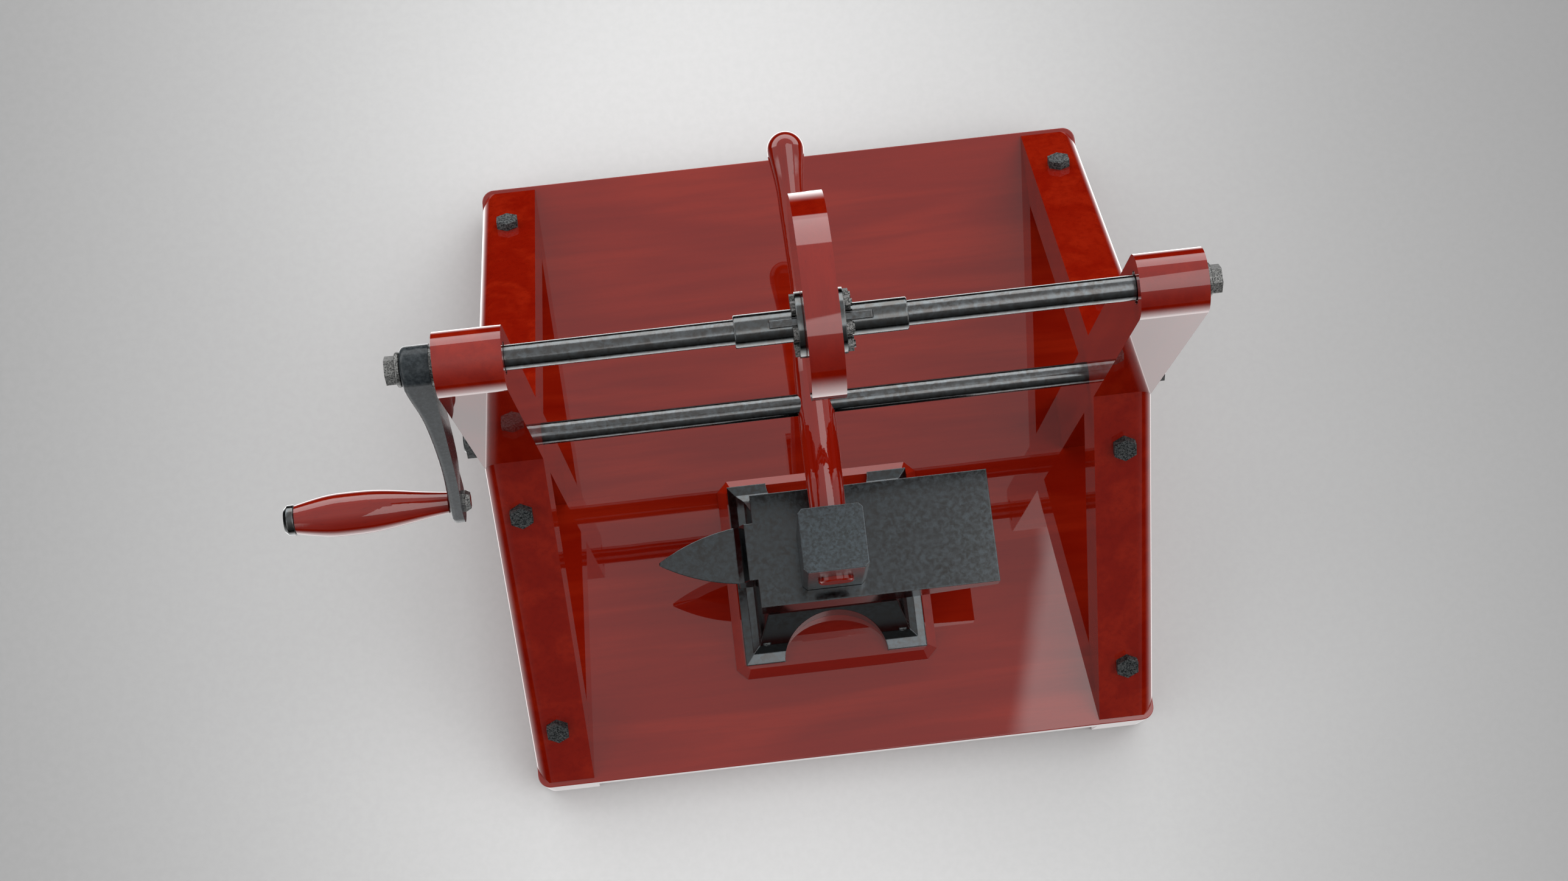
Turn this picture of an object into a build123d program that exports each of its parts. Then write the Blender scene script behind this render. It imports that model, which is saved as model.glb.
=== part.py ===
"""Hand-cranked cam hammer with an anvil, on a square wooden base, in millimetres.

The origin is the centre of the footprint, at the height of the surface that the base
runners stand on. X is along the shafts, -X is the crank side, -Y is the anvil side.
"""
import os
from math import acos, atan2, cos, degrees, hypot, radians, sin

from build123d import *

os.makedirs("parts", exist_ok=True)

# ---- Driving dimensions ----
base_side = 300
base_corner = 6
board_thickness = 12
runner_height = 24
timber = 27
post_depth = 26
shaft_rise = 286
axle_rise = 122
shaft_d = 10
axle_d = 10
running_gap = 0.05
body_gap = 0.3

brace_rise = {"front": 131.5, "rear": 141}
brace_toe = 148.5
brace_thickness = 26.5
toe_blunt = 0.8
brace_round = 8

anvil_y = -59
pad_side = 98
pad_thickness = 5
pad_corner = 5
pad_bevel = 4.4
anvil_foot_side = 88
anvil_face_rise = 88.5

head_front_y = -79.5
head_back_y = -51
head_width = 29
head_height = 61
head_corner = 2
head_pin_r = 1.5
handle_r = 8
handle_front_y = -81.5
handle_tail_y = 127

cam_thickness = 13.5
cam_base_r = 30
cam_flank_r = 52
cam_nose_r = 14
cam_flank_start = -13
cam_flank_end = 102
hub_sleeve_r = 6.5
hub_sleeve_length = 24.5
hub_flange_r = 13
hub_flange_thickness = 2.6
hub_bolt_circle_r = 9.7
hub_bolt_count = 6

crank_radius = 100
crank_angle = 22.6
crank_width = 17.6
crank_boss_length = 11.5
crank_tip_thickness = 5.4
crank_dish = 1.9
crank_rounding = 2.2
thrust_washer_thickness = 1.3
grip_length = 64.5
spindle_r = 2.5

# ---- Derived places ----
base_top = runner_height + board_thickness
shaft_z = base_top + shaft_rise
axle_z = base_top + axle_rise
side_x = base_side / 2 - timber / 2
half_depth = post_depth / 2
pad_top = base_top + pad_thickness
anvil_face = base_top + anvil_face_rise

crank_inner_x = -base_side / 2 - body_gap - thrust_washer_thickness
crank_outer_x = crank_inner_x - crank_boss_length
crank_tip_inner_x = crank_inner_x - crank_dish
crank_tip_outer_x = crank_tip_inner_x - crank_tip_thickness
crank_run_y = -sin(radians(crank_angle))
crank_run_z = -cos(radians(crank_angle))
grip_y = crank_radius * crank_run_y
grip_z = shaft_z + crank_radius * crank_run_z
grip_inner_x = crank_tip_outer_x - body_gap
grip_outer_x = grip_inner_x - grip_length
shaft_left_x = crank_outer_x + 0.4
shaft_right_x = base_side / 2 + body_gap - 0.1

sides = {"left": -1, "right": 1}
ends = {"front": -1, "rear": 1}


def save(part, name):
    """Label one finished piece and write its STEP file."""
    part.label = name
    export_step(part, f"parts/{name}.step")


def along(point, direction):
    """Plane at a point whose normal is the given direction."""
    return Plane(origin=point, z_dir=direction)


def hexagon_radius(across_flats):
    """Corner radius of a hexagon of the given width across its flats."""
    return across_flats / 2 / cos(radians(30))


# ---- Fixing positions, shared by the screws and by the holes they sit in ----
slopes = {end: rise / (brace_toe - half_depth) for end, rise in brace_rise.items()}


lag_r = 2.5
lag_length = 44
lag_head_af = 10
lag_head_height = 3.8
lag_spots = []
for side_sign in sides.values():
    for end, end_sign in ends.items():
        for reach in (33.4, 124):
            rise = slopes[end] * (brace_toe - reach)
            spot = (side_sign * side_x, end_sign * reach, base_top + rise)
            lag_spots.append((spot, (0, end_sign * slopes[end], 1)))

post_screw_r = 3
post_screw_length = 62
post_screw_sink = 6
post_screw_spots = [(s * side_x, y, post_screw_sink) for s in sides.values() for y in (-7, 7)]

runner_screw_r = 2
runner_screw_length = 26
runner_screw_spots = [(s * side_x, y, 8) for s in sides.values() for y in (-84, 84)]

anvil_screw_r = 2.5
anvil_screw_length = 22
anvil_screw_reach = 33
anvil_screw_spots = [
    (x, anvil_y + y, runner_height + 3)
    for x in (-anvil_screw_reach, anvil_screw_reach)
    for y in (-anvil_screw_reach, anvil_screw_reach)
]


def cut_lag_holes():
    """Inclined holes for the brace screws, cut from the part being built."""
    for spot, outward in lag_spots:
        with Locations(along(spot, outward)):
            Cylinder(
                lag_r + running_gap,
                2 * lag_length + 2 * running_gap,
                mode=Mode.SUBTRACT,
            )


def cut_upright_holes(spots, radius, length, head_radius, head_sink):
    """Vertical screw holes from below, with a countersunk mouth under each head."""
    for x, y, z in spots:
        with Locations((x, y, z)):
            Cylinder(
                radius + running_gap,
                length + running_gap,
                align=(Align.CENTER, Align.CENTER, Align.MIN),
                mode=Mode.SUBTRACT,
            )
            Cone(
                head_radius + 2 * running_gap,
                radius + running_gap,
                head_radius - radius + running_gap,
                align=(Align.CENTER, Align.CENTER, Align.MIN),
                mode=Mode.SUBTRACT,
            )
        if head_sink:
            with Locations((x, y, z)):
                Cylinder(
                    head_radius + 2 * running_gap,
                    head_sink,
                    align=(Align.CENTER, Align.CENTER, Align.MAX),
                    mode=Mode.SUBTRACT,
                )


def cut_all_wood_screws():
    """Cut every screw hole that can cross a timber or the board."""
    cut_lag_holes()
    cut_upright_holes(post_screw_spots, post_screw_r, post_screw_length, 6, post_screw_sink)
    cut_upright_holes(runner_screw_spots, runner_screw_r, runner_screw_length, 4, 8)


# ---- Base ----
with BuildPart() as base_board:
    with BuildSketch(Plane.XY.offset(runner_height)):
        RectangleRounded(base_side, base_side, base_corner)
    extrude(amount=board_thickness)
    fillet(base_board.faces().sort_by(Axis.Z)[-1].edges(), 0.6)
    cut_all_wood_screws()
    cut_upright_holes(anvil_screw_spots, anvil_screw_r, anvil_screw_length, 5, 3)
save(base_board.part, "base_board")

for side, side_sign in sides.items():
    with BuildPart() as runner:
        with BuildSketch():
            RectangleRounded(base_side, base_side, base_corner)
            with Locations((-side_sign * timber, 0)):
                Rectangle(base_side, base_side, mode=Mode.SUBTRACT)
        extrude(amount=runner_height)
        chamfer(runner.faces().sort_by(Axis.Z)[0].edges(), 0.8)
        cut_all_wood_screws()
    save(runner.part, f"{side}_runner")

with BuildPart() as anvil_pad:
    with BuildSketch(Plane.XY.offset(base_top)) as pad_outline:
        with Locations((0, anvil_y - 1)):
            Rectangle(pad_side, pad_side)
        chamfer(pad_outline.vertices(), pad_corner)
    extrude(amount=pad_thickness)
    chamfer(anvil_pad.faces().sort_by(Axis.Z)[-1].edges(), pad_bevel)
    cut_upright_holes(anvil_screw_spots, anvil_screw_r, anvil_screw_length, 5, 0)
save(anvil_pad.part, "anvil_pad")

# ---- Anvil ----
anvil_step_z = base_top + 80
face_left_x = -34
face_right_x = 75.5
face_width = 52
horn_length = 35.5
horn_root_x = -43
horn_root_width = 26
horn_droop = 17
recess_half_width = 25
recess_depth = 20
waist_z = base_top + 40
block_z = base_top + 62

with BuildPart() as anvil:
    # Four-footed plinth, a low step under two sloping tiers that narrow to the waist.
    with BuildSketch(Plane.XY.offset(pad_top)):
        with Locations((0, anvil_y)):
            Rectangle(anvil_foot_side, anvil_foot_side)
    extrude(amount=2.5)
    for low_z, low_size, high_z, high_size in (
        (pad_top + 2.5, (anvil_foot_side, anvil_foot_side), pad_top + 3.8, (80, 78)),
        (pad_top + 3.8, (80, 78), pad_top + 6.8, (73, 71)),
        (pad_top + 6.8, (73, 71), waist_z - 10, (62, 46)),
        (waist_z - 10, (62, 46), waist_z, (58, 40)),
        (waist_z, (58, 40), block_z, (62, face_width)),
    ):
        with BuildSketch(Plane.XY.offset(low_z)):
            with Locations((0, anvil_y)):
                Rectangle(*low_size)
        with BuildSketch(Plane.XY.offset(high_z)):
            with Locations((0, anvil_y)):
                Rectangle(*high_size)
        loft()
    # Face block with the heel, whose underside rises towards its end.
    with BuildSketch(Plane.XZ.offset(-anvil_y - face_width / 2)):
        Polygon(
            (face_left_x, block_z),
            (30, block_z),
            (face_right_x, anvil_face - 12),
            (face_right_x, anvil_face),
            (face_left_x, anvil_face),
            align=None,
        )
    extrude(amount=face_width)
    # Table at the horn's root, which steps down from the face to the horn.
    with BuildSketch(Plane.XZ.offset(-anvil_y - horn_root_width / 2)):
        Polygon(
            (face_left_x + 2, block_z + 1),
            (horn_root_x, block_z + 1),
            (horn_root_x, anvil_step_z),
            (horn_root_x + 2.6, anvil_step_z + 2.4),
            (horn_root_x + 5, anvil_face),
            (face_left_x + 2, anvil_face),
            align=None,
        )
    extrude(amount=horn_root_width)
    # Horn, flat on top and round below, drawn out to a blunt point.
    with BuildSketch(Plane.XY.offset(anvil_step_z)):
        with BuildLine():
            root_back = (horn_root_x, anvil_y + horn_root_width / 2)
            root_front = (horn_root_x, anvil_y - horn_root_width / 2)
            inner_back = (horn_root_x + 10, anvil_y + horn_root_width / 2)
            inner_front = (horn_root_x + 10, anvil_y - horn_root_width / 2)
            tip_back = (horn_root_x - horn_length, anvil_y + 0.7)
            tip_front = (horn_root_x - horn_length, anvil_y - 0.7)
            mid_x = horn_root_x - 0.5 * horn_length
            ThreePointArc(root_back, (mid_x, anvil_y + 0.345 * horn_root_width), tip_back)
            Line(tip_back, tip_front)
            ThreePointArc(tip_front, (mid_x, anvil_y - 0.345 * horn_root_width), root_front)
            Polyline(root_front, inner_front, inner_back, root_back)
        make_face()
    extrude(amount=-horn_droop, taper=22)
    # Curved recesses between the feet, front and rear.
    with BuildSketch(Plane.XY.offset(pad_top)):
        with Locations(*[(0, anvil_y + s * anvil_foot_side / 2) for s in (-1, 1)]):
            Ellipse(recess_half_width, recess_depth)
    extrude(amount=waist_z - pad_top, mode=Mode.SUBTRACT)
    cut_upright_holes(anvil_screw_spots, anvil_screw_r, anvil_screw_length, 5, 0)
save(anvil.part, "anvil")


# ---- Side frames ----
bush_r = 6.5
bush_recess = 0.5
washer_r = 8
washer_thickness = 1.6
axle_nut_af = 13
axle_nut_thickness = 5.5

for side, side_sign in sides.items():
    middle = Plane.YZ.offset(side_sign * side_x)
    with BuildPart() as post:
        with BuildSketch(middle):
            with Locations((0, (base_top + shaft_z) / 2)):
                Rectangle(post_depth, shaft_rise)
            with Locations((0, shaft_z)):
                Circle(half_depth)
        extrude(amount=timber / 2, both=True)
        with BuildSketch(middle):
            with Locations((0, shaft_z)):
                Circle(bush_r + running_gap)
            with Locations((0, axle_z)):
                Circle(axle_d / 2 + running_gap)
        extrude(amount=timber, both=True, mode=Mode.SUBTRACT)
        cut_all_wood_screws()
    save(post.part, f"{side}_post")

    with BuildPart() as shaft_bush:
        with BuildSketch(middle):
            with Locations((0, shaft_z)):
                Circle(bush_r)
                Circle(shaft_d / 2 + running_gap, mode=Mode.SUBTRACT)
        extrude(amount=timber / 2 - bush_recess, both=True)
    save(shaft_bush.part, f"{side}_shaft_bush")

    for end, end_sign in ends.items():
        slope = slopes[end]
        drop = brace_thickness * hypot(slope, 1)
        with BuildPart() as brace:
            with BuildSketch(middle):
                Polygon(
                    (end_sign * half_depth, base_top + brace_rise[end]),
                    (end_sign * (brace_toe - toe_blunt), base_top + slope * toe_blunt),
                    (end_sign * (brace_toe - toe_blunt), base_top),
                    (end_sign * (brace_toe - drop / slope), base_top),
                    (end_sign * half_depth, base_top + brace_rise[end] - drop),
                    align=None,
                )
            extrude(amount=timber / 2, both=True)
            outer_edges = brace.edges().filter_by(Axis.X, reverse=True)
            outer_edges = outer_edges.group_by(Axis.X)[-1 if side_sign > 0 else 0]
            fillet(outer_edges.sort_by(Edge.length)[-1], brace_round)
            cut_lag_holes()
        save(brace.part, f"{side}_{end}_brace")

# ---- Fixed fasteners ----
with BuildPart() as brace_screws:
    for spot, outward in lag_spots:
        face = along(spot, outward)
        with BuildSketch(face):
            RegularPolygon(hexagon_radius(lag_head_af), 6)
        extrude(amount=lag_head_height)
        with BuildSketch(face):
            Circle(lag_r)
        extrude(amount=-lag_length)
save(brace_screws.part, "brace_screws")


def countersunk_screws(spots, radius, length, head_radius):
    """Countersunk screws standing on their heads, one at each spot."""
    with BuildPart() as screws:
        for x, y, z in spots:
            with Locations((x, y, z)):
                Cone(
                    head_radius,
                    radius,
                    head_radius - radius,
                    align=(Align.CENTER, Align.CENTER, Align.MIN),
                )
                Cylinder(
                    radius,
                    length,
                    align=(Align.CENTER, Align.CENTER, Align.MIN),
                )
                Box(
                    head_radius,
                    1,
                    1,
                    align=(Align.CENTER, Align.CENTER, Align.MIN),
                    mode=Mode.SUBTRACT,
                )
    return screws.part


save(countersunk_screws(post_screw_spots, post_screw_r, post_screw_length, 6), "post_screws")
save(
    countersunk_screws(runner_screw_spots, runner_screw_r, runner_screw_length, 4),
    "runner_screws",
)
save(countersunk_screws(anvil_screw_spots, anvil_screw_r, anvil_screw_length, 5), "anvil_screws")

# ---- Hammer axle, clamped across the two posts ----
axle_reach = base_side / 2 + washer_thickness + axle_nut_thickness + 1
with BuildPart() as hammer_axle:
    with BuildSketch(Plane.YZ.offset(-axle_reach)):
        with Locations((0, axle_z)):
            Circle(axle_d / 2)
    extrude(amount=2 * axle_reach)
    chamfer(hammer_axle.edges().filter_by(GeomType.CIRCLE), 0.8)
save(hammer_axle.part, "hammer_axle")

with BuildPart() as axle_washers:
    for side_sign in sides.values():
        with BuildSketch(Plane.YZ.offset(side_sign * (base_side / 2 + washer_thickness / 2))):
            with Locations((0, axle_z)):
                Circle(washer_r + 1)
                Circle(axle_d / 2 + running_gap, mode=Mode.SUBTRACT)
        extrude(amount=washer_thickness / 2, both=True)
save(axle_washers.part, "axle_washers")

with BuildPart() as axle_nuts:
    for side_sign in sides.values():
        nut_x = base_side / 2 + washer_thickness + axle_nut_thickness / 2
        with BuildSketch(Plane.YZ.offset(side_sign * nut_x)):
            with Locations((0, axle_z)):
                RegularPolygon(hexagon_radius(axle_nut_af), 6)
                Circle(axle_d / 2 + running_gap, mode=Mode.SUBTRACT)
        extrude(amount=axle_nut_thickness / 2, both=True)
save(axle_nuts.part, "axle_nuts")

# ---- Drive: shaft, cam, hubs and crank ----
key_width = 3
key_height = 3
cam_key_length = 40
crank_key_length = 8
end_bolt_r = 3
end_bolt_depth = 14
end_bolt_af = 10
end_bolt_head = 4
end_washer_r = 7
end_washer_thickness = 2.2


def key_box(x_low, x_high):
    """A square key half sunk in the top of the main shaft."""
    with Locations(((x_low + x_high) / 2, 0, shaft_z + shaft_d / 2)):
        Box(x_high - x_low, key_width, key_height)


def cut_keyway(x_low, x_high):
    """The slot for a key, a little wider and taller than the key."""
    with Locations(((x_low + x_high) / 2, 0, shaft_z + shaft_d / 2)):
        Box(
            x_high - x_low + 2 * running_gap,
            key_width + 2 * running_gap,
            key_height + 2 * running_gap,
            mode=Mode.SUBTRACT,
        )


crank_key_span = (crank_outer_x + 1.5, crank_outer_x + 1.5 + crank_key_length)
cam_key_span = (-cam_key_length / 2, cam_key_length / 2)
set_screw_r = 1.5
set_screw_x = 24

with BuildPart() as main_shaft:
    with BuildSketch(Plane.YZ.offset(shaft_left_x)):
        with Locations((0, shaft_z)):
            Circle(shaft_d / 2)
    extrude(amount=shaft_right_x - shaft_left_x)
    chamfer(main_shaft.edges().filter_by(GeomType.CIRCLE), 0.4)
    for end_x in (shaft_left_x, shaft_right_x):
        with Locations(Location((end_x, 0, shaft_z), (0, 90, 0))):
            Cylinder(end_bolt_r + running_gap, 2 * end_bolt_depth, mode=Mode.SUBTRACT)
    cut_keyway(*crank_key_span)
    cut_keyway(*cam_key_span)
save(main_shaft.part, "main_shaft")

with BuildPart() as cam_key:
    key_box(*cam_key_span)
save(cam_key.part, "cam_key")

with BuildPart() as crank_key:
    key_box(*crank_key_span)
save(crank_key.part, "crank_key")


def around(centre, radius, angle):
    """Point at a radius from a centre, the angle measured from +Z towards +Y."""
    turn = radians(angle)
    return (centre[0] + radius * sin(turn), centre[1] + radius * cos(turn))


cam_centre = (0, shaft_z)
flank_centre = around(cam_centre, cam_base_r - cam_flank_r, cam_flank_start)
nose_centre = around(flank_centre, cam_flank_r - cam_nose_r, cam_flank_end)
nose_y = nose_centre[0]
nose_z = nose_centre[1] - shaft_z
nose_lead = acos((cam_base_r - cam_nose_r) / hypot(nose_y, nose_z))
belly = degrees(atan2(nose_y, nose_z) + nose_lead)

with BuildPart() as cam:
    # Base circle, a long convex flank behind the top, the nose, and a flat return below.
    with BuildSketch(Plane.YZ):
        with BuildLine():
            flank_start = around(cam_centre, cam_base_r, cam_flank_start)
            flank_end = around(nose_centre, cam_nose_r, cam_flank_end)
            nose_end = around(nose_centre, cam_nose_r, belly)
            base_start = around(cam_centre, cam_base_r, belly)
            ThreePointArc(base_start, around(cam_centre, cam_base_r, -90), flank_start)
            ThreePointArc(flank_start, around(flank_centre, cam_flank_r, 45), flank_end)
            ThreePointArc(flank_end, around(nose_centre, cam_nose_r, 150), nose_end)
            Line(nose_end, base_start)
        make_face()
        with Locations(cam_centre):
            Circle(shaft_d / 2 + running_gap, mode=Mode.SUBTRACT)
            with PolarLocations(hub_bolt_circle_r, hub_bolt_count):
                Circle(1.5 + running_gap, mode=Mode.SUBTRACT)
    extrude(amount=cam_thickness / 2, both=True)
    cut_keyway(*cam_key_span)
save(cam.part, "cam")

for side, side_sign in sides.items():
    flange_x = side_sign * cam_thickness / 2
    with BuildPart() as hub:
        with BuildSketch(Plane.YZ.offset(flange_x)):
            with Locations((0, shaft_z)):
                Circle(hub_flange_r)
        extrude(amount=side_sign * hub_flange_thickness)
        with BuildSketch(Plane.YZ.offset(flange_x)):
            with Locations((0, shaft_z)):
                Circle(hub_sleeve_r)
        extrude(amount=side_sign * (hub_flange_thickness + hub_sleeve_length))
        rims = hub.edges().filter_by(GeomType.CIRCLE).sort_by(Axis.X)
        fillet(rims[0 if side_sign < 0 else -1], 0.5)
        with BuildSketch(Plane.YZ.offset(flange_x)):
            with Locations((0, shaft_z)):
                Circle(shaft_d / 2 + running_gap)
                with PolarLocations(hub_bolt_circle_r, hub_bolt_count):
                    Circle(1.5 + running_gap)
        extrude(amount=side_sign * 2 * hub_sleeve_length, mode=Mode.SUBTRACT)
        cut_keyway(*cam_key_span)
        with Locations((side_sign * set_screw_x, 0, shaft_z - shaft_d / 2)):
            Cylinder(set_screw_r + running_gap, 2 * hub_sleeve_r, mode=Mode.SUBTRACT)
    save(hub.part, f"{side}_hub")

hub_bolt_af = 5
hub_bolt_head = 1.8
hub_face_x = cam_thickness / 2 + hub_flange_thickness

with BuildPart() as hub_bolts:
    with BuildSketch(Plane.YZ.offset(-hub_face_x)):
        with Locations((0, shaft_z)):
            with PolarLocations(hub_bolt_circle_r, hub_bolt_count):
                RegularPolygon(hexagon_radius(hub_bolt_af), 6)
    extrude(amount=-hub_bolt_head)
    with BuildSketch(Plane.YZ.offset(-hub_face_x)):
        with Locations((0, shaft_z)):
            with PolarLocations(hub_bolt_circle_r, hub_bolt_count):
                Circle(1.5)
    extrude(amount=2 * hub_face_x + 3.2)
save(hub_bolts.part, "hub_bolts")

with BuildPart() as hub_nuts:
    with BuildSketch(Plane.YZ.offset(hub_face_x)):
        with Locations((0, shaft_z)):
            with PolarLocations(hub_bolt_circle_r, hub_bolt_count):
                RegularPolygon(hexagon_radius(hub_bolt_af), 6)
                Circle(1.5 + running_gap, mode=Mode.SUBTRACT)
    extrude(amount=2.4)
save(hub_nuts.part, "hub_nuts")

with BuildPart() as hub_set_screws:
    for side_sign in sides.values():
        with Locations((side_sign * set_screw_x, 0, shaft_z - shaft_d / 2)):
            Cylinder(set_screw_r, 3, align=(Align.CENTER, Align.CENTER, Align.MAX))
save(hub_set_screws.part, "hub_set_screws")

with BuildPart() as thrust_washer:
    with BuildSketch(Plane.YZ.offset(crank_inner_x)):
        with Locations((0, shaft_z)):
            Circle(washer_r)
            Circle(shaft_d / 2 + running_gap, mode=Mode.SUBTRACT)
    extrude(amount=thrust_washer_thickness)
save(thrust_washer.part, "thrust_washer")

with BuildPart() as end_washers:
    for start_x, step in (
        (crank_outer_x, -end_washer_thickness),
        (base_side / 2 + body_gap, end_washer_thickness),
    ):
        with BuildSketch(Plane.YZ.offset(start_x)):
            with Locations((0, shaft_z)):
                Circle(end_washer_r)
                Circle(end_bolt_r + running_gap, mode=Mode.SUBTRACT)
        extrude(amount=step)
    rims = end_washers.edges().filter_by(GeomType.CIRCLE).sort_by(Edge.length)
    fillet(rims[-4:], 1)
save(end_washers.part, "end_washers")

with BuildPart() as end_bolts:
    for face_x, out in (
        (crank_outer_x - end_washer_thickness, -1),
        (base_side / 2 + body_gap + end_washer_thickness, 1),
    ):
        with BuildSketch(Plane.YZ.offset(face_x)):
            with Locations((0, shaft_z)):
                RegularPolygon(hexagon_radius(end_bolt_af), 6)
        extrude(amount=out * end_bolt_head)
        with BuildSketch(Plane.YZ.offset(face_x)):
            with Locations((0, shaft_z)):
                Circle(end_bolt_r)
        extrude(amount=-out * end_bolt_depth)
save(end_bolts.part, "end_bolts")

# ---- Crank ----
crank_dir = Vector(0, crank_run_y, crank_run_z)
boss_face = Plane(origin=(crank_inner_x, 0, shaft_z), x_dir=crank_dir, z_dir=(-1, 0, 0))
edge_face = Plane(
    origin=(0, 0, shaft_z),
    x_dir=crank_dir,
    z_dir=crank_dir.cross(Vector(1, 0, 0)),
)
arm_end = crank_radius + crank_width / 2

with BuildPart() as crank_arm:
    # Flat outline, a bar of even width with round ends.
    with BuildSketch(boss_face):
        with Locations((crank_radius / 2, 0)):
            SlotCenterToCenter(crank_radius, crank_width)
    extrude(amount=crank_boss_length)
    # Edge outline, full at the boss, hollowed on the outer face, dished at the tip.
    with BuildSketch(edge_face):
        with BuildLine():
            Line((-crank_width, crank_inner_x), (-crank_width, crank_outer_x))
            Line((-crank_width, crank_outer_x), (4, crank_outer_x))
            Spline(
                (4, crank_outer_x),
                (20, crank_outer_x + 2.8),
                (40, crank_tip_outer_x + 0.6),
                (62, crank_tip_outer_x + 1.3),
                (arm_end, crank_tip_outer_x),
                tangents=((1, 0.1), (1, -0.02)),
            )
            Line((arm_end, crank_tip_outer_x), (arm_end, crank_tip_inner_x))
            Line((arm_end, crank_tip_inner_x), (crank_radius - 9, crank_tip_inner_x))
            Spline(
                (crank_radius - 9, crank_tip_inner_x),
                (56, crank_inner_x - 0.4),
                (12, crank_inner_x),
                tangents=((-1, 0.1), (-1, 0)),
            )
            Line((12, crank_inner_x), (-crank_width, crank_inner_x))
        make_face()
    extrude(amount=crank_width, both=True, mode=Mode.INTERSECT)
    outer_rim = [
        edge
        for edge in crank_arm.edges()
        if edge.center().X < crank_tip_inner_x - 2
    ]
    fillet(outer_rim, crank_rounding)
    with BuildSketch(boss_face):
        Circle(shaft_d / 2 + running_gap)
        with Locations((crank_radius, 0)):
            Circle(spindle_r + running_gap)
    extrude(amount=crank_boss_length, mode=Mode.SUBTRACT)
    cut_keyway(*crank_key_span)
save(crank_arm.part, "crank_arm")

# ---- Grip, free to turn on its spindle ----
cap_r = 6.5
cap_thickness = 4.3
grip_nut_af = 8
grip_nut_thickness = 3.1
cap_x = grip_outer_x - body_gap
grip_centre = (0, grip_y, grip_z)
grip_radii = (
    (14.8, 6.5),
    (32.4, 8.85),
    (41.8, 9.1),
    (48.6, 8.95),
    (58.7, 7.35),
)

with BuildPart() as grip_spindle:
    with BuildSketch(Plane.YZ.offset(cap_x)):
        with Locations((grip_y, grip_z)):
            Circle(cap_r)
    extrude(amount=-cap_thickness)
    chamfer(grip_spindle.edges().group_by(Axis.X)[0], 1.6)
    with BuildSketch(Plane.YZ.offset(cap_x)):
        with Locations((grip_y, grip_z)):
            Circle(spindle_r)
    extrude(amount=crank_tip_inner_x + grip_nut_thickness - cap_x)
save(grip_spindle.part, "grip_spindle")

with BuildPart() as grip:
    with BuildSketch(Plane(origin=(grip_inner_x, grip_y, grip_z), x_dir=(-1, 0, 0), z_dir=(0, 1, 0))):
        with BuildLine():
            Polyline((0, 4.0), (0, spindle_r + running_gap), (grip_length, spindle_r + running_gap))
            Line((grip_length, spindle_r + running_gap), (grip_length, 6.05))
            Spline((grip_length, 6.05), *reversed(grip_radii), (0.5, 4.5))
            Line((0.5, 4.5), (0, 4.0))
        make_face()
    revolve(axis=Axis(grip_centre, (1, 0, 0)))
save(grip.part, "grip")

with BuildPart() as grip_nut:
    with BuildSketch(Plane.YZ.offset(crank_tip_inner_x)):
        with Locations((grip_y, grip_z)):
            RegularPolygon(hexagon_radius(grip_nut_af), 6)
            Circle(spindle_r + running_gap, mode=Mode.SUBTRACT)
    extrude(amount=grip_nut_thickness)
    chamfer(grip_nut.faces().sort_by(Axis.X)[-1].outer_wire().edges(), 2, 1)
save(grip_nut.part, "grip_nut")

# ---- Hammer ----
handle_radii = (
    (56, 5.0),
    (67.4, 5.3),
    (78.5, 5.6),
    (89.7, 6.0),
    (99.8, 6.3),
    (107.7, 7.2),
    (113.5, 8.05),
)
knob_y = handle_tail_y - 8.4

with BuildPart() as hammer_handle:
    with BuildSketch(Plane.YZ):
        with BuildLine():
            eye_end = (head_back_y + 0.5, axle_z + handle_r)
            neck = (14, axle_z + handle_r)
            knob = (knob_y, axle_z + 8.4)
            Line((handle_front_y, axle_z), (handle_front_y, axle_z + handle_r - 0.6))
            Line((handle_front_y, axle_z + handle_r - 0.6), (handle_front_y + 0.6, axle_z + handle_r))
            Line((handle_front_y + 0.6, axle_z + handle_r), eye_end)
            ThreePointArc(eye_end, (-20, axle_z + 8.4), neck)
            Spline(
                neck,
                *[(y, axle_z + r) for y, r in handle_radii],
                knob,
                tangents=((1, -0.04), (1, 0)),
            )
            RadiusArc(knob, (handle_tail_y, axle_z), 8.4)
            Line((handle_tail_y, axle_z), (handle_front_y, axle_z))
        make_face()
    revolve(axis=Axis((0, 0, axle_z), (0, 1, 0)))
    with BuildSketch(Plane.YZ):
        with Locations((0, axle_z)):
            Circle(axle_d / 2 + running_gap)
        with Locations(((head_front_y + head_back_y) / 2, axle_z)):
            Circle(head_pin_r + running_gap)
    extrude(amount=2 * handle_r, both=True, mode=Mode.SUBTRACT)
save(hammer_handle.part, "hammer_handle")

head_y = (head_front_y + head_back_y) / 2
head_depth = head_back_y - head_front_y
head_low_z = anvil_face + body_gap
with BuildPart() as hammer_head:
    with BuildSketch(Plane.XY.offset(head_low_z)) as head_outline:
        with Locations((0, head_y)):
            Rectangle(head_width, head_depth)
        chamfer(head_outline.vertices(), head_corner)
    extrude(amount=head_height)
    chamfer(hammer_head.faces().sort_by(Axis.Z)[0].edges(), 1)
    chamfer(hammer_head.faces().sort_by(Axis.Z)[-1].edges(), 0.25)
    with BuildSketch(Plane.XZ.offset(-head_y)):
        with Locations((0, axle_z)):
            Circle(handle_r + running_gap)
    extrude(amount=head_depth, both=True, mode=Mode.SUBTRACT)
    with BuildSketch(Plane.YZ):
        with Locations((head_y, axle_z)):
            Circle(head_pin_r + running_gap)
    extrude(amount=head_width, both=True, mode=Mode.SUBTRACT)
save(hammer_head.part, "hammer_head")

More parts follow.
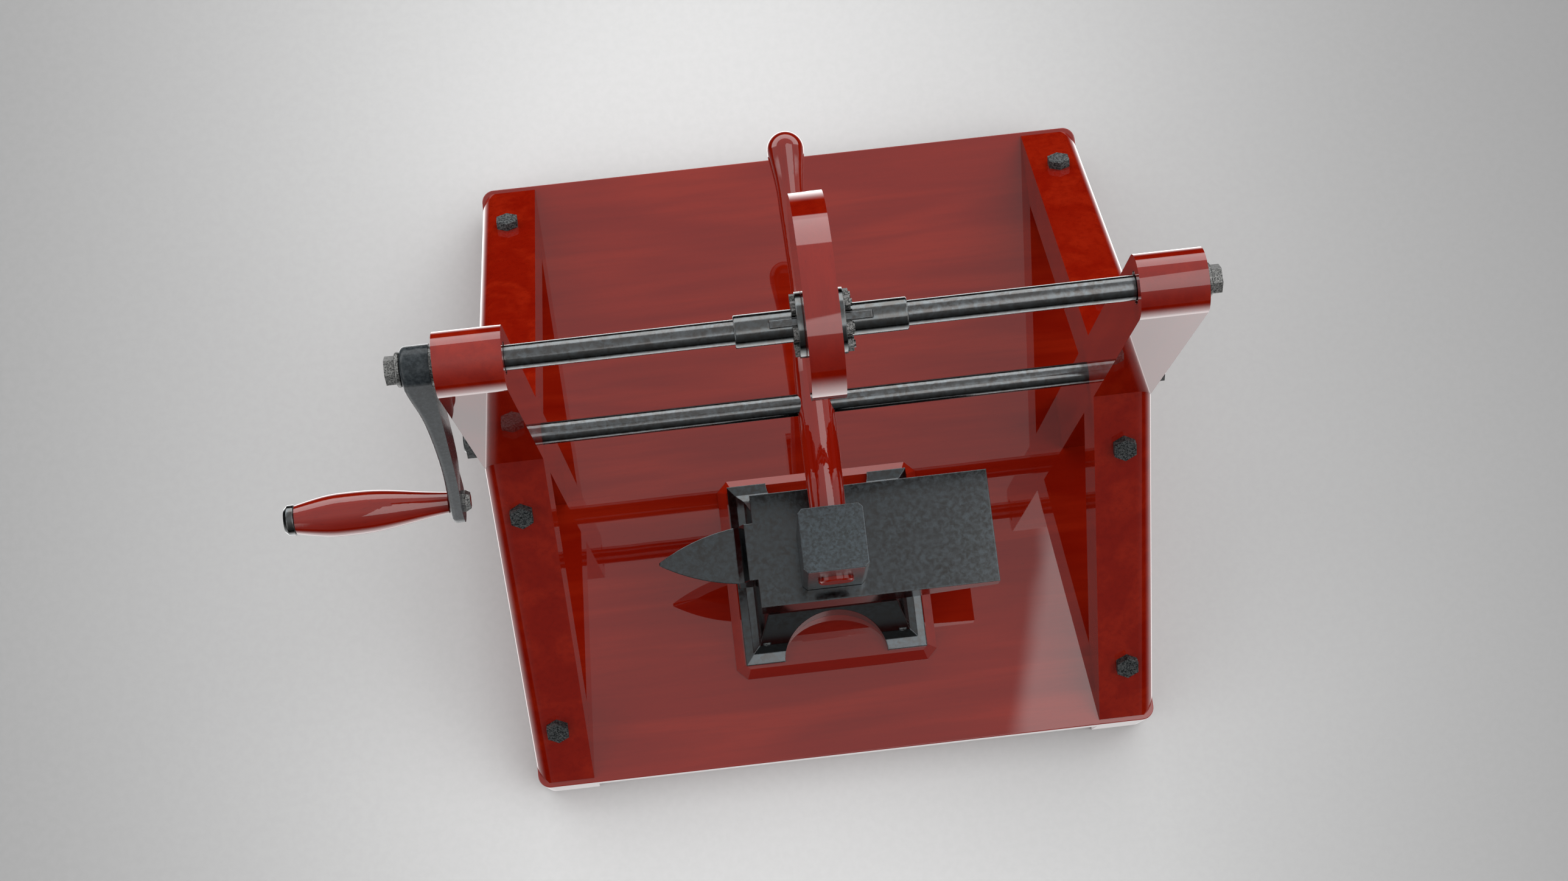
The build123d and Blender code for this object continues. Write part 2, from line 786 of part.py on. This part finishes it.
with BuildPart() as head_pin:
    with BuildSketch(Plane.YZ):
        with Locations((head_y, axle_z)):
            Circle(head_pin_r)
    extrude(amount=head_width / 2 - 0.2, both=True)
save(head_pin.part, "head_pin")
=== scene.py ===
"""Looks of a hand-cranked cam hammer with an anvil: red varnished wood, dark polished metal."""
from math import atan, radians

import bpy
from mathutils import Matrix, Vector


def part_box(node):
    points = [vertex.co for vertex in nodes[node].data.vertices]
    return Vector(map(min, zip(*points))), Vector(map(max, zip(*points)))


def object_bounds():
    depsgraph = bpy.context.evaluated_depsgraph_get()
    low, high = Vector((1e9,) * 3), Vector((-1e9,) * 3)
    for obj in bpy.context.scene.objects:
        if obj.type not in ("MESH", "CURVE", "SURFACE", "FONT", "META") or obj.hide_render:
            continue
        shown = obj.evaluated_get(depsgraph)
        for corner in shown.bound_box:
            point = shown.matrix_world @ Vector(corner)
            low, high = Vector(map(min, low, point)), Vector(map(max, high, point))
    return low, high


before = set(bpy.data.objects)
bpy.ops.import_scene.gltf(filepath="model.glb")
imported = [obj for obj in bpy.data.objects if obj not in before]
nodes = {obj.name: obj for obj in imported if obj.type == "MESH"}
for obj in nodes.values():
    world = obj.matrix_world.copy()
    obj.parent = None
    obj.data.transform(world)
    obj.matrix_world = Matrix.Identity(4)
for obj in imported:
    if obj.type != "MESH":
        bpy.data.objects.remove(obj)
cad_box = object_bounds()

scene = bpy.context.scene
scene.view_settings.view_transform = "Standard"
scene.view_settings.look = "None"
scene.cycles.use_denoising = True


# ---- Node helpers ----
class Tree:
    """Short calls for building one node tree."""

    def __init__(self, tree):
        self.tree = tree

    def add(self, kind, **settings):
        node = self.tree.nodes.new(kind)
        for key, value in settings.items():
            setattr(node, key, value)
        return node

    def feed(self, socket, value):
        """Link a socket, or set its value when a plain number or tuple is given."""
        if isinstance(value, bpy.types.NodeSocket):
            self.tree.links.new(value, socket)
        else:
            socket.default_value = value

    def math(self, operation, *values, clamp=False):
        node = self.add("ShaderNodeMath", operation=operation, use_clamp=clamp)
        for socket, value in zip(node.inputs, values):
            self.feed(socket, value)
        return node.outputs[0]

    def ramp(self, value, low, high, to_low=0.0, to_high=1.0, smooth=True):
        """A value taken from one range to another, held at both ends."""
        kind = "SMOOTHSTEP" if smooth else "LINEAR"
        node = self.add("ShaderNodeMapRange", interpolation_type=kind, clamp=True)
        for socket, part in zip(node.inputs, (value, low, high, to_low, to_high)):
            self.feed(socket, part)
        return node.outputs[0]

    def place(self, scale=(1, 1, 1), turn=(0, 0, 0), shift=(0, 0, 0), source=None):
        """Object coordinates, turned and then stretched."""
        if source is None:
            source = self.add("ShaderNodeTexCoord").outputs["Object"]
        turned = self.add("ShaderNodeMapping")
        self.feed(turned.inputs["Vector"], source)
        self.feed(turned.inputs["Rotation"], turn)
        self.feed(turned.inputs["Location"], shift)
        stretched = self.add("ShaderNodeMapping")
        self.feed(stretched.inputs["Vector"], turned.outputs[0])
        self.feed(stretched.inputs["Scale"], scale)
        return stretched.outputs[0]

    def noise(self, vector, scale=1.0, detail=3.0, rough=0.55, bend=0.0):
        node = self.add("ShaderNodeTexNoise")
        self.feed(node.inputs["Vector"], vector)
        self.feed(node.inputs["Scale"], scale)
        self.feed(node.inputs["Detail"], detail)
        self.feed(node.inputs["Roughness"], rough)
        self.feed(node.inputs["Distortion"], bend)
        return node.outputs["Fac"]

    def mix(self, share, first, second, blend="MIX"):
        node = self.add("ShaderNodeMix", data_type="RGBA", blend_type=blend)
        self.feed(node.inputs[0], share)
        self.feed(node.inputs[6], first)
        self.feed(node.inputs[7], second)
        return node.outputs[2]

    def bump(self, height, distance, strength=1.0, edge_radius=0.0):
        """Relief from a height, over edges softened by a small radius."""
        node = self.add("ShaderNodeBump")
        if edge_radius:
            soft = self.add("ShaderNodeBevel", samples=6)
            self.feed(soft.inputs["Radius"], edge_radius)
            self.feed(node.inputs["Normal"], soft.outputs[0])
        self.feed(node.inputs["Height"], height)
        self.feed(node.inputs["Distance"], distance)
        self.feed(node.inputs["Strength"], strength)
        return node.outputs[0]


def new_material(name):
    """A material with one Principled shader, and the helper for its tree."""
    material = bpy.data.materials.new(name)
    material.use_nodes = True
    shader = material.node_tree.nodes["Principled BSDF"]
    return material, Tree(material.node_tree), shader.inputs


def colour(red, green, blue):
    return (red, green, blue, 1.0)


# ---- Materials ----
# Colours are linear, lengths are metres.
STAIN_DEEP = colour(0.098, 0.0022, 0.0005)
STAIN_MID = colour(0.125, 0.0036, 0.0008)
STAIN_WARM = colour(0.158, 0.0068, 0.0016)
PORE_BROWN = colour(0.05, 0.001, 0.0005)
METAL_EDGE = 0.0007
METAL_GRIT = 0.0007
LAY_PITCH = 0.00025
LAY_LENGTH = 0.02


def varnished_wood(name, grain, turn=(0, 0, 0), shift=(0, 0, 0), figure=1.0):
    """Red stained wood under gloss varnish. grain is the index of the axis the fibres follow."""
    material, tree, inputs = new_material(name)

    def stretch(length, width):
        return tuple(1 / (length if axis == grain else width) for axis in range(3))

    bands = tree.noise(tree.place(stretch(0.16, 0.020), turn, shift), 1, 2, 0.5, 0.9)
    streaks = tree.noise(tree.place(stretch(0.055, 0.0032), turn, shift), 1, 4, 0.6, 0.5)
    fibres = tree.noise(tree.place(stretch(0.016, 0.00055), turn, shift), 1, 2, 0.6, 0.1)
    pores = tree.noise(tree.place(stretch(0.0045, 0.00045), turn, shift), 1, 1, 0.5, 0.0)
    body = tree.mix(tree.ramp(bands, 0.36, 0.66), STAIN_MID, STAIN_WARM)
    streaked = tree.mix(
        tree.math("MULTIPLY", tree.ramp(streaks, 0.40, 0.68), 0.75 * figure), body, STAIN_DEEP
    )
    fibrous = tree.mix(
        tree.math("MULTIPLY", tree.ramp(fibres, 0.35, 0.75), 0.35 * figure), streaked, STAIN_DEEP
    )
    pored = tree.mix(
        tree.math("MULTIPLY", tree.ramp(pores, 0.66, 0.74), 0.55 * figure),
        fibrous,
        PORE_BROWN,
    )
    tree.feed(inputs["Base Color"], pored)
    tree.feed(inputs["Roughness"], tree.ramp(fibres, 0.3, 0.7, 0.42, 0.56))
    tree.feed(inputs["Normal"], tree.bump(fibres, 0.00004, 0.6))
    inputs["Specular IOR Level"].default_value = 0.0
    inputs["Coat Weight"].default_value = 1.0
    inputs["Coat IOR"].default_value = 1.5
    flow = tree.noise(tree.place((18, 18, 18), turn, shift), 1, 2, 0.5)
    dust = tree.noise(tree.place((900, 900, 900), turn, shift), 1, 1, 0.5)
    tree.feed(inputs["Coat Roughness"], tree.ramp(dust, 0.35, 0.75, 0.006, 0.022))
    tree.feed(inputs["Coat Normal"], tree.bump(flow, 0.0008, 0.05))
    return material


def dark_metal(name, tone, rough, mottle, mottle_size, swing, lay=None):
    """Dark grey metal with cloudy mottling. lay is the axis that its turning marks go round."""
    material, tree, inputs = new_material(name)
    cloud = tree.noise(tree.place((1 / mottle_size,) * 3), 1, 4, 0.6, 0.4)
    warm = tree.noise(tree.place((1 / (3.3 * mottle_size),) * 3, shift=(0.7, 0.2, 0.4)), 1, 2)
    cool_tone = colour(*[part * (1 + swing) for part in (tone[0] * 0.93, tone[1], tone[2] * 1.04)])
    warm_tone = colour(*[part * (1 - swing) for part in (tone[0] * 1.08, tone[1], tone[2] * 0.95)])
    mixed = tree.mix(tree.ramp(cloud, 0.32, 0.68), warm_tone, cool_tone)
    shaded = tree.mix(
        tree.math("MULTIPLY", tree.ramp(warm, 0.35, 0.7), mottle), mixed, colour(*tone)
    )
    tree.feed(inputs["Base Color"], shaded)
    inputs["Metallic"].default_value = 1.0
    tree.feed(inputs["Roughness"], tree.ramp(cloud, 0.3, 0.7, rough * 0.8, rough * 1.25))
    if lay is None:
        grit = tree.noise(tree.place((1 / METAL_GRIT,) * 3), 1, 2, 0.6)
    else:
        size = tuple(1 / (LAY_PITCH if axis == lay else LAY_LENGTH) for axis in range(3))
        grit = tree.noise(tree.place(size), 1, 2, 0.6)
    tree.feed(inputs["Normal"], tree.bump(grit, 0.00001, 0.35, METAL_EDGE))
    return material


def speckled_metal(name, dark, light, grain_size, rough, metallic=0.85, gloss=0.5):
    """Plated or painted metal with fine dark and light speckles."""
    material, tree, inputs = new_material(name)
    speck = tree.noise(tree.place((1 / grain_size,) * 3), 1, 3, 0.7)
    patch = tree.noise(tree.place((1 / (6 * grain_size),) * 3), 1, 2, 0.5)
    tone = tree.mix(tree.ramp(speck, 0.38, 0.62), colour(*dark), colour(*light))
    worn = tree.mix(
        tree.math("MULTIPLY", tree.ramp(patch, 0.5, 0.8), 0.25), tone, colour(*dark)
    )
    tree.feed(inputs["Base Color"], worn)
    inputs["Metallic"].default_value = metallic
    inputs["Specular IOR Level"].default_value = gloss
    tree.feed(inputs["Roughness"], tree.ramp(speck, 0.3, 0.7, rough, rough * 1.4))
    tree.feed(inputs["Normal"], tree.bump(speck, 0.00005, 0.5))
    return material



def pitch(name):
    """Slope of a brace, from the corners of its box."""
    low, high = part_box(name)
    return atan((high.z - low.z) / (high.y - low.y))


front_turn = (pitch("left_front_brace"), 0, 0)
rear_turn = (-pitch("left_rear_brace"), 0, 0)

board_wood = varnished_wood("board_wood", 0, figure=0.38)
pad_wood = varnished_wood("pad_wood", 0, shift=(0.3, 0.1, 0.2), figure=0.4)
runner_wood = varnished_wood("runner_wood", 1, shift=(0.1, 0.5, 0.2), figure=0.6)
post_wood = varnished_wood("post_wood", 2, shift=(0.4, 0.2, 0.1), figure=0.5)
front_wood = varnished_wood("front_brace_wood", 1, front_turn, (0.2, 0.3, 0.5), 0.6)
rear_wood = varnished_wood("rear_brace_wood", 1, rear_turn, (0.6, 0.1, 0.3), 0.6)
cam_wood = varnished_wood("cam_wood", 1, shift=(0.5, 0.2, 0.6), figure=0.5)
handle_wood = varnished_wood("handle_wood", 1, shift=(0.1, 0.4, 0.7), figure=0.6)
grip_wood = varnished_wood("grip_wood", 0, shift=(0.8, 0.3, 0.1), figure=0.6)

shaft_steel = dark_metal(
    "shaft_steel", (0.084, 0.086, 0.087), rough=0.16, mottle=0.5, mottle_size=0.0026, swing=0.26, lay=0
)
hub_steel = dark_metal(
    "hub_steel", (0.078, 0.080, 0.080), rough=0.15, mottle=0.4, mottle_size=0.0024, swing=0.18, lay=0
)
anvil_iron = dark_metal(
    "anvil_iron", (0.050, 0.053, 0.055), rough=0.12, mottle=0.5, mottle_size=0.0024, swing=0.19
)
head_steel = dark_metal(
    "head_steel", (0.050, 0.056, 0.060), rough=0.20, mottle=0.5, mottle_size=0.0014, swing=0.20
)
crank_iron = speckled_metal(
    "crank_iron",
    dark=(0.012, 0.015, 0.017),
    light=(0.026, 0.031, 0.034),
    grain_size=0.0016,
    rough=0.20,
    metallic=0.0,
    gloss=0.12,
)
zinc = speckled_metal(
    "zinc_plate", dark=(0.02, 0.021, 0.021), light=(0.17, 0.17, 0.165), grain_size=0.0006, rough=0.34
)
black_zinc = speckled_metal(
    "black_plate",
    dark=(0.010, 0.012, 0.013),
    light=(0.09, 0.095, 0.096),
    grain_size=0.0008,
    rough=0.42,
)

finishes = {
    "base_board": board_wood,
    "anvil_pad": pad_wood,
    "left_runner": runner_wood,
    "right_runner": runner_wood,
    "left_post": post_wood,
    "right_post": post_wood,
    "left_front_brace": front_wood,
    "right_front_brace": front_wood,
    "left_rear_brace": rear_wood,
    "right_rear_brace": rear_wood,
    "cam": cam_wood,
    "hammer_handle": handle_wood,
    "grip": grip_wood,
    "anvil": anvil_iron,
    "hammer_head": head_steel,
    "head_pin": head_steel,
    "main_shaft": shaft_steel,
    "hammer_axle": shaft_steel,
    "left_hub": hub_steel,
    "right_hub": hub_steel,
    "left_shaft_bush": hub_steel,
    "right_shaft_bush": hub_steel,
    "crank_arm": crank_iron,
    "cam_key": shaft_steel,
    "crank_key": shaft_steel,
    "hub_bolts": zinc,
    "hub_nuts": zinc,
    "end_washers": zinc,
    "end_bolts": zinc,
    "thrust_washer": zinc,
    "grip_nut": zinc,
    "grip_spindle": hub_steel,
}
for name, piece in nodes.items():
    piece.data.materials.clear()
    piece.data.materials.append(finishes.get(name, black_zinc))

# ---- Floor: pale, with a painted pool of light that makes it darker away from the part ----
FLOOR_RADIUS = 200
FLOOR_PAINTED_LIGHT_DEPTH_SCALE = 0.45
FLOOR_PAINTED_LIGHT_SHIFT = (0.04, 0.05, 0)
FLOOR_PAINTED_LIGHT_FALLOFF = 0.29
FLOOR_FAR_TONE = 0.065
FLOOR_PAINTED_LIGHT_GAIN = 0.44

bpy.ops.mesh.primitive_circle_add(
    vertices=128, radius=FLOOR_RADIUS, fill_type="NGON", location=(0, 0, cad_box[0][2])
)
floor = bpy.context.object
floor.name = "studio_floor"
floor.visible_glossy = False
floor_with_painted_light, tree, inputs = new_material("floor_with_painted_light")
# Painted light: the floor colour is brightest under the part and fades with distance, a painted pool
# of overhead light; FLOOR_FAR_TONE is the tone left far away.
painted_light_coords = tree.place((1, FLOOR_PAINTED_LIGHT_DEPTH_SCALE, 1), shift=FLOOR_PAINTED_LIGHT_SHIFT)
painted_light_distance = tree.add("ShaderNodeVectorMath", operation="LENGTH")
tree.feed(painted_light_distance.inputs[0], painted_light_coords)
speckle = tree.noise(tree.place((260, 260, 260)), 1, 2, 0.6)
painted_light_reach = tree.math("DIVIDE", painted_light_distance.outputs["Value"], FLOOR_PAINTED_LIGHT_FALLOFF)
# Painted light: brightness painted into the floor colour, falling off with distance from the part.
tone = tree.math("DIVIDE", FLOOR_PAINTED_LIGHT_GAIN, tree.math("MULTIPLY_ADD", painted_light_reach, painted_light_reach, 1.0))
tone = tree.math("ADD", tone, FLOOR_FAR_TONE)
tone = tree.math("MULTIPLY", tone, tree.ramp(speckle, 0.3, 0.7, 0.985, 1.015))
grey = tree.add("ShaderNodeCombineColor")
for socket in grey.inputs:
    tree.feed(socket, tone)
tree.feed(inputs["Base Color"], grey.outputs[0])
tree.feed(inputs["Roughness"], tree.ramp(speckle, 0.3, 0.7, 0.42, 0.5))
inputs["Specular IOR Level"].default_value = 0.3
floor.data.materials.append(floor_with_painted_light)

# ---- Studio light: a soft dome with softboxes drawn into it by direction ----
world = bpy.data.worlds.new("studio")
scene.world = world
world.use_nodes = True
tree = Tree(world.node_tree)
background = world.node_tree.nodes["Background"]
direction = tree.add("ShaderNodeTexCoord").outputs["Generated"]
axes = tree.add("ShaderNodeSeparateXYZ")
tree.feed(axes.inputs[0], direction)
dir_x, dir_y, dir_z = axes.outputs
sideways = tree.math("ABSOLUTE", dir_x)
rise = tree.math("MAXIMUM", dir_z, 0.02)
side_slope = tree.math("DIVIDE", dir_x, rise)
depth_slope = tree.math("DIVIDE", dir_y, rise)


def lit(strength, *edges):
    """Light inside every edge. An edge is a value, where it turns dark and where it is fully lit."""
    light = strength
    for value, dark, full in edges:
        if dark < full:
            share = tree.ramp(value, dark, full)
        else:
            share = tree.ramp(value, full, dark, 1.0, 0.0)
        light = tree.math("MULTIPLY", share, light)
    return light


# Even dome, dimmer towards the front.
dome = tree.ramp(dir_y, -1.0, -0.12, 0.12, 0.97, smooth=False)
dome = lit(dome, (dir_z, -0.03, 0.03))
# Upright softbox behind the part.
back_box = lit(3.3, (dir_z, 0.52, 0.50), (dir_z, -0.11, -0.07), (dir_y, 0.25, 0.35))
# Softbox overhead to the right, with a slanting left edge.
left_edge = tree.math("MULTIPLY_ADD", depth_slope, -0.28, side_slope)
top_box = lit(
    2.5,
    (left_edge, 0.075, 0.085),
    (side_slope, 0.95, 0.9),
    (depth_slope, -0.62, -0.58),
    (depth_slope, 0.54, 0.5),
    (dir_z, 0.3, 0.4),
)
# Fill from below the horizon, brightest at a slant and weaker straight down and sideways.
front_glow = tree.ramp(dir_z, -0.68, -0.15, 3.0, 0.0)
back_glow = tree.ramp(dir_z, -0.88, -0.50, 3.0, 0.0)
rear_share = tree.ramp(dir_y, 0.0, 0.35)
glow_gap = tree.math("SUBTRACT", back_glow, front_glow)
under = tree.math("MULTIPLY_ADD", rear_share, glow_gap, front_glow)
under = tree.math("MULTIPLY", under, tree.ramp(dir_z, -0.985, -0.90, 0.27, 1.0))
under = tree.math("MULTIPLY", under, tree.ramp(sideways, 0.35, 0.60, 1.0, 0.35))
# Low softboxes at the two sides, in the front half.
side_box = lit(
    2.3, (sideways, 0.50, 0.60), (dir_y, 0.1, 0.0), (dir_z, 0.10, 0.16), (dir_z, 0.65, 0.55)
)

light = dome
for extra in (back_box, top_box, under, side_box):
    light = tree.math("ADD", light, extra)
tree.feed(background.inputs["Strength"], light)
background.inputs["Color"].default_value = colour(1.0, 1.0, 1.0)

# ---- Camera: almost overhead, a little in front of the part's middle ----
LENS_MM = 60.99
EYE_PLACE = (-0.0410, -0.2237, 1.3275)
EYE_TURN = (10.175, -0.061, -6.532)

camera = bpy.data.cameras.new("camera")
camera.lens = LENS_MM
camera.sensor_width = 36
camera.clip_end = 2 * FLOOR_RADIUS
eye = bpy.data.objects.new("camera", camera)
eye.location = EYE_PLACE
eye.rotation_euler = [radians(angle) for angle in EYE_TURN]
scene.collection.objects.link(eye)
scene.camera = eye
